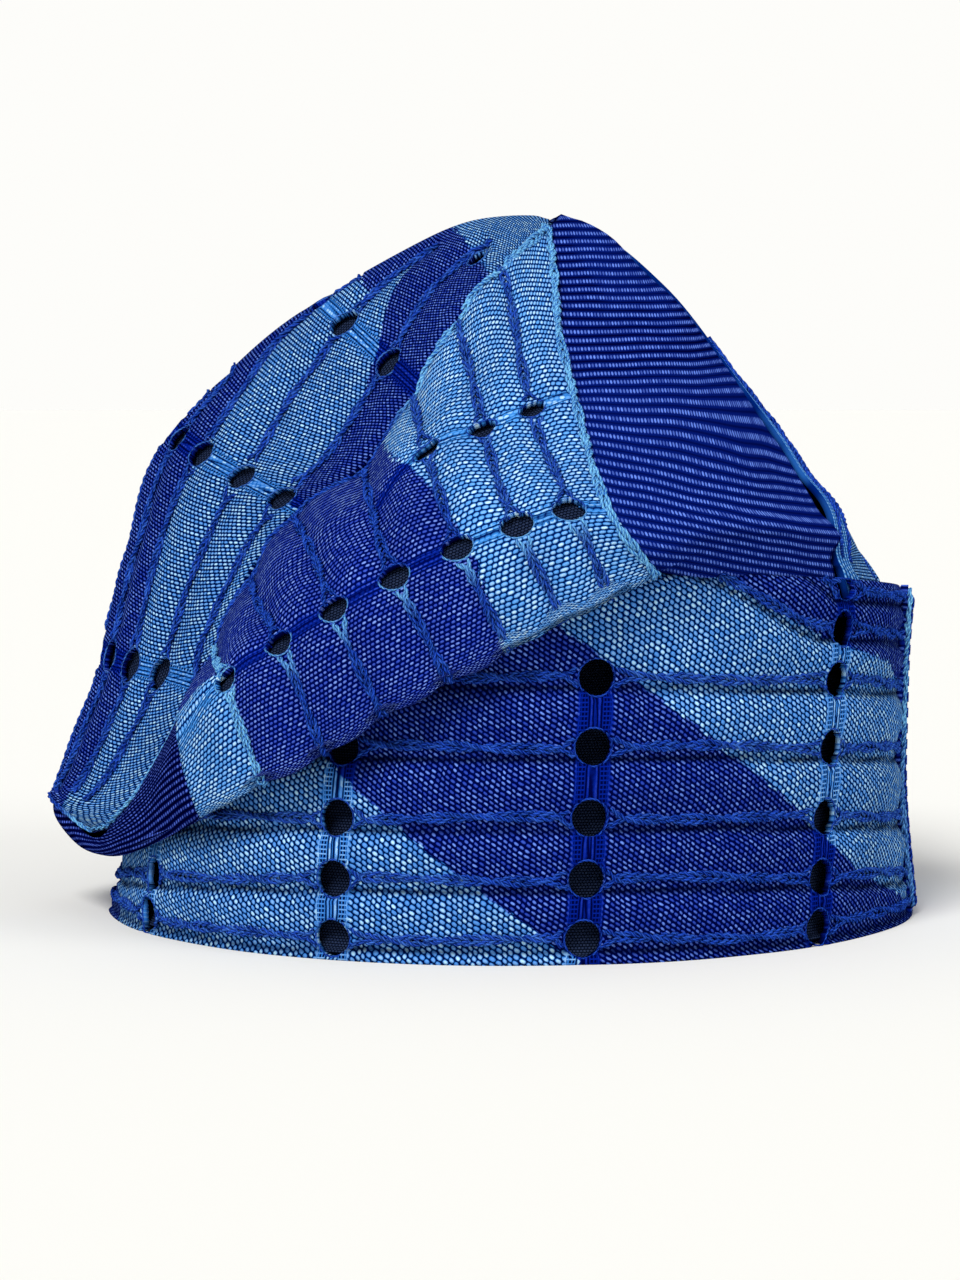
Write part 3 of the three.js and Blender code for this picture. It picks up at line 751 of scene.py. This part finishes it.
def floor_and_light():
    bpy.ops.mesh.primitive_plane_add(size=8, location=(0, 0, 0))
    floor = bpy.context.object
    floor.name = "floor"
    paper, _, shader = new_material("floor_paper", 0.9)
    shader.inputs["Base Color"].default_value = (0.919, 0.905, 0.852, 1)
    floor.data.materials.append(paper)
    world = bpy.data.worlds.new("studio")
    world.use_nodes = True
    tree = world.node_tree
    # white walls all round at eye level and a dimmer ceiling
    way = tree.nodes.new("ShaderNodeTexCoord")
    split = tree.nodes.new("ShaderNodeSeparateXYZ")
    tree.links.new(way.outputs["Generated"], split.inputs[0])
    rise = Number(tree, split.outputs[2]).step(0.075, 0.22)
    tree.links.new(mix_colours(rise, (0.985, 0.98, 0.955, 1), (0.42, 0.43, 0.45, 1)),
                   tree.nodes["Background"].inputs["Color"])
    bpy.context.scene.world = world
    bpy.context.scene.view_settings.view_transform = "Standard"
    for name, place, angle, power in (
        ("key_light", (-0.4, -1.0, 1.05), 22, 2.5),
        ("side_light", (1.0, -0.7, 0.7), 30, 0.6),
    ):
        data = bpy.data.lights.new(name, "SUN")
        data.angle, data.energy = math.radians(angle), power
        lamp = bpy.data.objects.new(name, data)
        lamp.location = place
        lamp.rotation_euler = (-Vector(place)).to_track_quat("-Z", "Y").to_euler()
        bpy.context.scene.collection.objects.link(lamp)


def dress(piece, node, finish):
    piece.data.materials.append(finish)
    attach(piece, "root")
    if node:
        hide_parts(node)


def sew(name, paths, radius=CORD):
    """Threads in the braid's own material."""
    dress(tubes(name, paths, radius), None, BRAID)


# Eyelets stand in upright lines round the band: the line's angle at the rim and at the fold.
BAND_LINES = [
    (-151.4, -151), (-114.8, -114.4), (-81, -78.2), (-44.2, -36.3), (29.4, 29.4), (65.4, 65.4),
    (101.4, 101.4), (137.4, 137.4), (173.4, 173.4),
]
BAND_BRAIDS = [*BAND_RIBS, 69.2]
BRAID_RISES = [(55, -41, -68, 13), (65, -38, -49, 7)]      # braids over a height, from, to, rise
BAND_SEAM = (-10.5, 4)     # a plain folded strip covers the band's sewn ends between these angles
DEGREE = 1.65              # millimetres round the band
STRIPE_TURN = 0.7          # the stripes climb this much for each length round the band
STRIPE_ACROSS = 0.82       # square to a stripe, for each length of height
# Where each stripe ends, as height plus its turn's share of the length round the band, by that length.
STRIPE_ENDS = [
    [(0, -308)],
    [(0, -266)],
    [(0, -190)],
    [(0, -93.5)],
    [(-139, -27), (-57, -25), (-23, -12), (0, -3), (40, 8)],
    [(-91, 10.8), (-67, 18), (-33, 34), (0, 45), (40, 50)],
    [(0, 110)],
    [(0, 150)],
    [(0, 226)],
    [(0, 322.5)],
]


def band_stripe(angle, z):
    """Millimetres into a light stripe, and less than 0 in a dark one."""
    length = np.radians(wrapped(angle)) * MEAN_RADIUS
    q = length * STRIPE_TURN + z
    inside, distance = np.zeros(q.shape), np.full(q.shape, 99.0)
    for ends in STRIPE_ENDS:
        limit = np.interp(length, *zip(*ends))
        inside += q > limit
        distance = np.minimum(distance, np.abs(q - limit))
    return np.where(inside % 2 == 1, 1, -1) * distance * STRIPE_ACROSS


def band():
    u = np.arange(-180, 180, 360 * CELL / BAND_LENGTH)
    v = np.linspace(0, 1, 66)

    def top(angle):
        return CUFF_HEIGHT + CUFF_SLOPE * RIM_HALF_DEPTH * np.sin(np.radians(angle))

    def place(uu, vv):
        angle = uu[:, None] + 0 * vv[None]
        return band_point(angle, vv[None] * top(angle))
    surface = Surface(place, u, v, closed=True)

    def braid_v(angle, rib):
        z = rib + top(angle) - CUFF_HEIGHT
        if rib < 0:
            # the lowest braid follows the hem as far as the seam
            z = np.maximum(z, HEM_BRAID - 16 * smooth_step(-2.6, -6.5, z))
        z = np.where(z > 1.0, np.maximum(z, HEM_BRAID), z)
        # the two highest braids climb over the fold towards the front
        turned = wrapped(angle)
        for lowest, start, end, rise in BRAID_RISES:
            if lowest < rib < lowest + 10:
                z = z + rise * smooth_step(start, end, turned) * smooth_step(-150, -130, turned)
        return z / top(angle)

    def line_angle(line, vv):
        return line[0] + (line[1] - line[0]) * vv
    holes = []
    for line in BAND_LINES:
        for rib in BAND_BRAIDS:
            vv = float(braid_v(sum(line) / 2, rib))
            if 0.04 < vv < 0.985:
                holes.append((line_angle(line, vv), vv, EYELET, EYELET if rib < BAND_BRAIDS[-1] else 3.0))

    def ribs(angle, vv):
        return nearest([(vv - braid_v(angle, rib)) * top(angle) for rib in BAND_BRAIDS])

    def rows(angle, vv):
        far = nearest([wrapped(angle - line_angle(line, vv)) * DEGREE for line in BAND_LINES])
        # the lines stop over the last eyelet where the highest braids have climbed over the fold
        plain = (vv > braid_v(angle, BAND_RIBS[4]) + 0.02) & (braid_v(angle, BAND_RIBS[5]) > 1)
        return np.where(plain, FAR, far)

    def stripe(angle, vv):
        return band_stripe(angle, vv * top(angle))
    piece = cloth("band_cloth", surface, stripe, holes, ribs, rows, seed=0.4, groove_and_shadow=0.8,
                  form=lambda angle, vv: -1.6 * smooth_step(0.955, 1, vv) ** 2)
    dress(piece, "band", openwork(
        "band_weave", (1.5, 1.08, 0.42, 0.1, 0.49, 0.46), (1.4, 0.98, 0.4, 0.1, 0.50, 0.36), "y", twill=34))

    def tint(angle, vv):
        return smooth_step(-1.5, 1.5, band_stripe(angle, vv * top(angle))) * 0.12
    paths = []
    angle = np.linspace(BAND_SEAM[1] - 360.5, BAND_SEAM[0] + 0.5, 700)
    for k, rib in enumerate(BAND_BRAIDS):
        vv = braid_v(angle, rib)
        near = [(a, b) for a, b, *_ in holes if abs(b - braid_v(a, rib)) < 0.02]
        # a braid that runs under the rim or over the fold is laid only where it shows
        for first, last in runs_of((vv > 0.03) & (vv < 1), 8):
            shown = slice(first, last)
            paths += braid_strands(surface, angle[shown], vv[shown], near, tint=tint, phase=k * 1.7)
    sew("band_braids", paths)
    sew("band_eyelets", eyelet_rings(surface, holes, tint), EYELET_CORD)

    def strip_place(uu, vv):
        angle = uu[:, None] + 0 * vv[None]
        edge = np.minimum(uu - BAND_SEAM[0], BAND_SEAM[1] - uu)[:, None]
        ends = 2.3 * smooth_step(0.945, 1, vv) ** 2 + 1.5 * smooth_step(0.045, 0, vv) ** 2
        rounded = smooth_step(-0.4, 1.6, edge) * (0.7 - ends)
        return band_point(angle, 0.4 + vv[None] * top(angle), rounded)
    strip = Surface(strip_place, np.linspace(*BAND_SEAM, 22), v)
    piece = cloth("seam_strip", strip, all_dark, wall=1.8, seed=0.7, seams=(1, 1, 0, 0), dip=0.5,
                  crumple=0.35)
    dress(piece, None, ribbed(
        "seam_ribs", 1.0, 1.3, [rgb(0, 6, 66), rgb(10, 38, 150), rgb(92, 130, 232)]))
    sew("seam_selvage", braid_strands(
        strip, BAND_SEAM[0] + 0.35, np.linspace(0.02, 0.99, 240), half=0.35, lift=0.1, pitch=5,
        tint=lambda a, b: 0.45 + 0.5 * smooth_step(0.4, 0.7, b)))
    stitches = [(*strip.at(angle, np.linspace(start, start + 0.03, 6), 0.1), 0.0)
                for angle in (BAND_SEAM[0] + 1.5, BAND_SEAM[1] - 1.2)
                for start in np.arange(0.02, 0.96, 0.048)]
    sew("seam_stitches", stitches, FINE_CORD)


# Braids on the crown's top: places along it and shares of the way from the front crest to the back one.
TOP_BRAIDS = [
    [(1.0, 0.17), (1.44, 0.18), (2, 0.18), (2.5, 0.155), (2.95, 0.12), (3.7, 0.1), (4.93, 0.05), (5.8, 0.055),
     (6.98, 0.04), (7.8, 0.02)],
    [(1.6, 0.36), (2.3, 0.33), (2.96, 0.3), (3.4, 0.265), (3.9, 0.245), (4.83, 0.175), (5.5, 0.16),
     (6.2, 0.16), (7.7, 0.155), (8.6, 0.18), (9.9, 0.2)],
    [(2.5, 0.48), (3.1, 0.45), (3.6, 0.42), (4.04, 0.37), (4.78, 0.3), (5.7, 0.29), (6.5, 0.28), (7.56, 0.27),
     (8.4, 0.275), (9.9, 0.28)],
    [(4.0, 0.47), (4.76, 0.405), (5.5, 0.39), (6.9, 0.385), (7.36, 0.385), (8.5, 0.4), (10.4, 0.42)],
    [(4.3, 0.5), (10.6, 0.5)],
]
# Lines of eyelets across the top: place at the crest, and how it shifts towards the spine.
TOP_LINES = [(2.93, 0.1), (4.92, -0.4), (7.85, -1.3)]


def top_place(u, v):
    front = [m[3] for m in FRONT] + [m[3] for m in LEFT[:LOBE]]
    back = [m[3] for m in BACK] + [m[3] for m in LEFT[::-1][:LOBE]]
    arch = np.stack([front, SPINE, back], 1).astype(float)
    return np.moveaxis(spline(np.moveaxis(spline(arch, u), 0, 1), v * 2), 0, 1)


def crown_top():
    surface = Surface(top_place, np.linspace(0, 11, 158), np.linspace(0, 1, 92), facing=-1)
    braids = TOP_BRAIDS + [[(a, 1 - b) for a, b in braid] for braid in TOP_BRAIDS[:4]]
    length = surface.across[:, -1]

    def share(braid, u):
        return np.interp(u, [a for a, b in braid], [b for a, b in braid], left=np.nan, right=np.nan)

    def ribs(u, v):
        size = np.interp(u, surface.u, length)
        far = np.array([np.abs(v - share(braid, u)) * size for braid in braids])
        return np.where(np.isnan(far), FAR, far).min(0)

    def rows(u, v):
        # distance along the top from the nearest line of eyelets
        here, half = surface.sample(surface.along, u, v), np.minimum(v, 1 - v)
        return nearest([here - surface.sample(surface.along, a + b * half, v) for a, b in TOP_LINES])
    holes = []
    for braid in braids:
        for crest, shift in TOP_LINES:
            line = crest
            for _ in range(4):
                at = share(braid, line)
                line = crest + shift * min(at, 1 - at)
            # a braid that ends short of the line has no number here, and no eyelet
            if np.interp(line, surface.u, length) * min(at, 1 - at) > 3.4:
                holes.append((line, at, 3.6, 3.7))
    holes.append((1.29, 0.13, 3.0, 3.4))

    def stripe(u, v):
        size = np.interp(u, surface.u, length)
        half = np.minimum(v, 1 - v)
        alpha, beta, gamma = (np.interp(u, *zip(*braid)) for braid in TOP_BRAIDS[:3])
        first = np.minimum(half - beta, gamma - half) * size
        first = np.minimum(first, (u - 2.55) * 12)
        middle = np.minimum(half - alpha, beta - half) * size
        middle = np.minimum(middle, (u - 3.0) * 12 + (half - alpha) * size * 1.2 - 6)
        narrow = np.minimum((alpha - half) * size, (u - 4.95) * 12)
        narrow = np.minimum(narrow, (7.3 - u) * 12)
        narrow = np.maximum(narrow, (1.3 - u) * 12)
        return np.maximum(np.maximum(first, middle), narrow)
    piece = cloth("top_cloth", surface, stripe, holes, ribs, rows, seed=2.2, seams=(1, 0, 1, 1), dip=0.8)
    dress(piece, "crown_top", openwork(
        "top_weave", (1.35, 0.9, 0.5, 0.2, 0.48, 0.42), (1.2, 0.82, 0.5, 0.3, 0.46, 0.38), "y", swap=True,
        reach=2.6))
    paths = []
    for k, braid in enumerate(braids):
        u = np.linspace(braid[0][0], braid[-1][0], 300)
        near = [(a, b) for a, b, *_ in holes if abs(b - share(braid, a)) < 0.004]
        paths += braid_strands(surface, u, share(braid, u), near, tint=0.05, phase=k, gap=3.6)
    sew("top_braids", paths)
    sew("top_eyelets", eyelet_rings(surface, holes, 0.3), EYELET_CORD)
    # a pale thread runs along the seam with the tip's gusset
    u = np.linspace(7.9, 10.9, 160)
    inset = 1.2 / np.interp(u, surface.u, length)
    around = np.linspace(inset[-1], 1 - inset[-1], 160)
    edge = []

    def pale(a, b):
        return 0.85 * smooth_step(0.3, 0.12, np.minimum(b, 1 - b))
    for at_u, at_v in ((u, inset), (10.86, around), (u, 1 - inset)):
        edge += braid_strands(surface, at_u, at_v, half=0.25, lift=0.0, pitch=6, ply=0.3, tint=pale)
    sew("top_edge", edge, FINE_CORD)
    lining_behind("top_lining", surface, 0.03)


def wall_surface(meridians, u_count, v_values, facing, first=0, last=None):
    keys = np.array([key_points(m) for m in meridians])          # station, key, xyz
    last = len(meridians) - 1 if last is None else last

    def place(u, v):
        at_u = spline(keys, u)                                   # u, key, xyz
        return np.moveaxis(spline(np.moveaxis(at_u, 0, 1), v + 2), 0, 1)
    return Surface(place, np.linspace(first, last, u_count), v_values, facing=facing)


def wall_steps(under, over):
    """Height numbers of a wall's grid: -2 at the turned cloth's end, 0 at the hem, 3 at the crest."""
    return np.concatenate([np.linspace(-2, 0, under)[:-1], np.linspace(0, 3, over)])


WALL_STEPS = wall_steps(12, 78)
WALL_LINING = 0.6          # the lining behind a wall starts above the hem's fold
# Light and dark weave of the front and back walls.
WALL_WEAVE = ((1.5, 1.02, 0.5, 0.2, 0.5, 0.45), (1.22, 0.84, 0.5, 0.15, 0.46, 0.38))
STRIP_START = 3.28         # the right gusset's ribbed cloth meets a light strip here
# Where the front wall's light cloth begins, by height number: places on the meridians.
FRONT_LIGHT = [(-2, 3.1), (0.14, 3.09), (0.83, 2.81), (1.43, 2.98), (2.28, 3.5), (3, 3.62)]


def crown_front():
    surface = wall_surface(FRONT, 96, WALL_STEPS, -1)
    holes = [(n, 1, 3.5, 2.9) for n in range(1, 8)] + [(n, 2, 3.3, 2.3) for n in range(1, 4)]

    def ribs(u, v):
        scale_u, _ = surface.scale(u, v)
        near = np.clip(np.round(u), 1, 7)
        return np.abs(u - near) * scale_u

    def rows(u, v):
        _, scale_v = surface.scale(u, v)
        return nearest([(v - 1) * scale_v, np.where(u < 4, (v - 2) * scale_v, FAR)])

    def right_part(u, v):
        return (np.interp(v, *zip(*FRONT_LIGHT)) - u) * 11

    def stripe(u, v):
        left = np.where(v < 1.15, (u - 7.0) * 11, (u - 7.0) * 11 - (v - 1.15) * 14)
        return np.maximum(right_part(u, v), left)
    reach = [60, 56, 49, 42, 26, 24, 17, 8, 5]        # how far the cloth rises above the eyelets

    def lengths(points, u, v, along, across):
        # stitches are a little longer over the hollow of the fold, where the cloth is stretched
        even = 24 * np.minimum(v, 1) + np.maximum(v - 1, 0) / 2 * np.interp(u, range(9), reach)
        return along, 0.25 * (across - surface.across[0, 12]) + 0.75 * even
    piece = cloth("front_cloth", surface, stripe, holes, ribs, rows, seed=1.1, seams=(0, 0, 0, 1),
                  lengths=lengths)
    # the front wall's weave takes the brighter palettes, painted light
    dress(piece, "crown_front",
          openwork("front_weave", *WALL_WEAVE, "x", reach=2.0, shades=FRONT_LIT_SHADES))

    def tint(u, v):
        below = smooth_step(0.55, 0.9, v) * smooth_step(1.05, 0.97, v) * 0.7
        pale = np.maximum(smooth_step(6.7, 7.0, u), below)
        return np.maximum(0.12 * smooth_step(-1, 1, right_part(u, v)), pale)
    paths = []
    for n in range(1, 8):
        near = [(a, b) for a, b, *_ in holes if a == n]
        paths += braid_strands(surface, n, np.linspace(-0.25, 2.97, 260), near, tint=tint,
                               phase=n * 1.3, gap=2.6, spread=1.6)
    sew("front_braids", paths)
    sew("front_eyelets", eyelet_rings(surface, holes, tint), EYELET_CORD)
    edge = braid_strands(surface, 0.06, np.linspace(-0.3, 3, 300), half=0.5, lift=0.25, pitch=7, tint=1.0)
    crease = braid_strands(surface, np.linspace(0, 8, 300), 2.96, half=0.5, lift=0.2, pitch=6,
                           tint=lambda a, b: smooth_step(3.6, 2.8, a) * 0.9)
    sew("front_edges", edge + crease, 0.36)
    lining_behind("front_lining", surface, WALL_LINING)


# How far the cloth swells beside the apex, by height number in steps of a quarter.
SWELL = [0, 0, -0.2, -0.4, -0.8, -1.4, -0.4, 0.8, 2.2, 3.6, 4.5, 4.2, 0]


def swell(station, v):
    """The full shoulder right of the apex; the gusset's stations run on into the back wall's."""
    share = smooth_step(1.0, 2.8, station) * smooth_step(6.0, 4.6, station)
    return share * spline(SWELL, np.clip(v, 0, 3).ravel() * 4).reshape(v.shape)


def crown_back():
    surface = wall_surface(BACK, 150, wall_steps(9, 62), 1)
    places = [0.7, 1.5, 2.1, 2.6, 3.1, 3.7, 4.3, 4.9, 5.5, 6.2, 7.0]

    def ribs(u, v):
        scale_u, _ = surface.scale(u, v)
        return np.min([np.abs(u - place) * scale_u for place in places], 0)

    def rows(u, v):
        _, scale_v = surface.scale(u, v)
        return (v - 1) * scale_v
    holes = [(place, 1, 4.0, 3.4) for place in places]

    def stripe(u, v):
        middle = np.minimum(u - 3.4 - 0.25 * v, 5.2 - 0.2 * v - u) * 20
        return np.maximum((1.62 - u) * 20 + (v - 1) * 6, middle)
    piece = cloth("back_cloth", surface, stripe, holes, ribs, rows, seed=3.1, seams=(0, 0, 0, 1),
                  form=lambda u, v: swell(u + 4, v))
    dress(piece, "crown_back", openwork("back_weave", *WALL_WEAVE, "x", reach=2.0))
    paths = []
    for k, place in enumerate(places):
        paths += braid_strands(surface, place, np.linspace(-0.25, 2.97, 200), [(place, 1)], tint=0.1,
                               phase=k * 1.3, gap=3.4, step=0.9)
    sew("back_braids", paths)
    sew("back_eyelets", eyelet_rings(surface, holes, 0.2), EYELET_CORD)
    lining_behind("back_lining", surface, WALL_LINING)


def gussets():
    meridians = [FRONT[0], *RIGHT, BACK[0]]
    right = wall_surface(meridians, 80, WALL_STEPS, 1, last=STRIP_START)
    edge = right.along[-1:]

    def lengths(points, u, v, along, across):
        # the ribs lie level near the top and fan down to the right below
        low = smooth_step(122, 98, points[..., 2])
        return (0.8 * points[..., 0] + 0.3 * along,
                1.3 * points[..., 2] + low * 0.3 * (points[..., 0] - 20))

    def form(u, v):
        # a soft roll along the hem with a hollow over it, and a rounded tip
        roll = 2.0 * bell(11 * v, 3.5, 3.0) - 1.2 * bell(11 * v, 10, 2.8)
        return roll + swell(u, v) - 1.3 * bell(v, 3, 0.05)
    # below the knee the distance to a row falls, and there the ribs are pulled nearly smooth
    piece = cloth("right_cloth", right, lambda u, v: 3.6 - (edge - right.along), seed=4.0,
                  rows=lambda u, v: FAR - 4 * smooth_step(2.2, 1.95, v),
                  seams=(1, 1, 0, 0), crumple=0.8, lengths=lengths, form=form)
    dress(piece, "crown_right", ribbed(
        "right_ribs", 0.85, 2.3, [rgb(0, 2, 50), rgb(6, 29, 122), rgb(108, 144, 242)]))
    strip = wall_surface(meridians, 24, WALL_STEPS, 1, first=STRIP_START)
    piece = cloth("strip_cloth", strip, all_dark, seed=4.5, seams=(0, 1, 0, 0),
                  form=lambda u, v: 0.8 + swell(u, v) - 2.2 * bell(v, 3, 0.05))
    dress(piece, "crown_right", ribbed(
        "strip_ribs", 1.3, 2.4, [rgb(0, 30, 104), rgb(56, 134, 222), rgb(176, 228, 255)], upright=True))
    paths = []
    for k, place in enumerate((3.5, 3.78)):
        paths += braid_strands(strip, place, np.linspace(0.05, 2.2, 180), phase=k * 2.1, half=0.15,
                               lift=0.0, ply=0.25)
    sew("strip_braids", paths)
    left = wall_surface([FRONT[-1], *LEFT, BACK[-1]], 120, WALL_STEPS[::2], -1)
    hem = left.across[:, np.argmin(np.abs(left.v))]

    def from_hem(points, u, v, along, across):
        return along, across - np.interp(u, left.u, hem)
    piece = cloth("left_cloth", left, all_dark, seed=5.0, dip=0.7, lengths=from_hem)
    dress(piece, "crown_left", ribbed(
        "left_ribs", 1.35, 1.45, [rgb(0, 0, 34), rgb(2, 12, 82), rgb(84, 112, 216)]))


def lining():
    table = np.array(LINING, float)

    def place(uu, vv):
        ring = spline(table, vv * (len(table) - 1))
        turn = np.radians(uu)[:, None]
        return np.stack([ring[None, :, 1] + ring[None, :, 2] * np.cos(turn), ring[None, :, 3] * np.sin(turn),
                         ring[None, :, 0] + 0 * turn], -1)
    surface = Surface(place, np.arange(-180, 180, 3.0), np.linspace(0, 1, 64), closed=True)
    piece = cloth("lining_cloth", surface, all_dark, wall=1.1, crumple=0.2, billow=0.0)
    dress(piece, "lining", LINING_WEAVE)


def lining_behind(name, surface, lowest):
    """The lining just behind an outer panel, seen through its eyelets; v starts at lowest.

    Every second line of the panel's grid is enough for it."""
    sunk = surface.points + (surface.relief[..., None] - LINING_GAP) * surface.normals
    along, across = slice(3, -3, 2), slice(int(np.searchsorted(surface.v, lowest)), -3, 2)
    inside = Surface(lambda u, v: sunk[along, across], surface.u[along], surface.v[across],
                     facing=surface.facing)
    piece = cloth(name, inside, all_dark, wall=1.0, crumple=0.0, billow=0.0, dip=0.0)
    dress(piece, "lining", LINING_WEAVE)


# lining palette: painted shade in the gaps, the cloth's colour, a painted highlight
LINING_WEAVE = plain_weave("lining_weave", [rgb(4, 8, 22), rgb(34, 46, 74), rgb(80, 92, 120)])
# each pair runs from painted shade in the twist's hollows to a painted highlight on its crowns; the low pair
# is the dark thread and the high pair the pale one
BRAID = thread("braid_thread", [rgb(0, 10, 84), rgb(40, 86, 206)], [rgb(20, 84, 170), rgb(136, 210, 248)])

camera()
floor_and_light()
lining()
band()
crown_front()
crown_back()
gussets()
crown_top()
